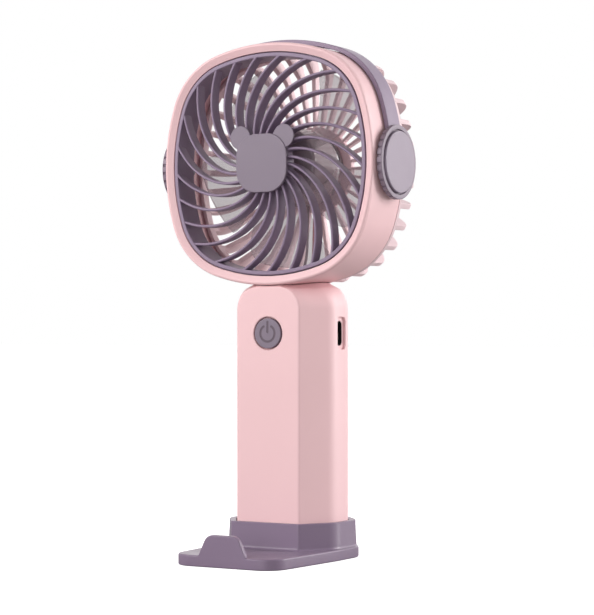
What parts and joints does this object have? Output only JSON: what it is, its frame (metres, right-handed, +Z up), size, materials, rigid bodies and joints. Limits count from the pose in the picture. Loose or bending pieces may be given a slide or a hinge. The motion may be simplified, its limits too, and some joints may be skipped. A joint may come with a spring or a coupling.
{
  "type": "handheld electric fan with phone stand",
  "caption": "Handheld electric fan: a rounded square caged head over a hand grip with a push button, standing in a foot that also props up a phone.",
  "frame": {"origin": "under the middle of the handle, on the surface that the phone stand rests on", "axes": "-Y is the way the air blows, +X is the side with the charging port, +Z is up along the handle"},
  "size_m": [0.0994, 0.0715, 0.1999],
  "materials": {
    "pink_plastic": "fine satin moulded plastic",
    "mauve_plastic": "satin moulded plastic",
    "light_mauve_plastic": "satin moulded plastic",
    "smoke_plastic": "clear smoke tinted moulded plastic",
    "steel": "plain plated steel",
    "copper": "enamelled copper wire",
    "board_green": "solder mask",
    "black_plastic": "plain black plastic",
    "cell_wrap": "shrink wrap over a metal can",
    "red_wire": "wire sleeve"
  },
  "bodies": {
    "stand": {"phone_stand": "mauve_plastic"},
    "fan": {"handle_shell": "pink_plastic", "handle_back": "pink_plastic", "handle_screw_1": "steel", "handle_screw_2": "steel", "handle_screw_3": "steel", "handle_screw_4": "steel", "neck_tube": "mauve_plastic", "neck_clip": "steel", "tact_switch": "black_plastic", "circuit_board": "board_green", "usb_socket": "steel", "battery_cell": "cell_wrap", "battery_lead_red": "red_wire", "battery_lead_black": "black_plastic", "motor_lead_red": "red_wire", "motor_lead_black": "black_plastic", "front_shell": "pink_plastic", "front_grille": "mauve_plastic", "hub_badge": "light_mauve_plastic", "rear_grille": "pink_plastic", "headband": "mauve_plastic", "side_ring_right": "light_mauve_plastic", "side_ring_left": "light_mauve_plastic", "side_cap_right": "light_mauve_plastic", "side_cap_left": "light_mauve_plastic", "motor_base": "steel", "motor_screw_1": "steel", "motor_screw_2": "steel", "bearing_tube": "steel", "bearing_front": "steel", "bearing_rear": "steel", "stator_core": "steel", "coil_former": "copper"},
    "rotor": {"impeller": "smoke_plastic", "rotor_can": "steel", "magnet_ring": "black_plastic", "motor_shaft": "steel"},
    "button": {"power_button": "light_mauve_plastic", "switch_stem": "light_mauve_plastic"}
  },
  "joints": [
    {"name": "stand_release", "type": "slide", "parent": "stand", "child": "fan", "axis": [0, 0, 1], "range_m": [0, 0.012]},
    {"name": "rotor_spin", "type": "hinge", "parent": "fan", "child": "rotor", "pos_m": [0, 0, 0.1514], "axis": [0, -1, 0], "continuous": true},
    {"name": "power_button_press", "type": "slide", "parent": "fan", "child": "button", "axis": [0, 1, 0], "range_m": [0, 0.0006], "stiffness_N_per_m": 2500, "springref_m": -0.0004}
  ]
}
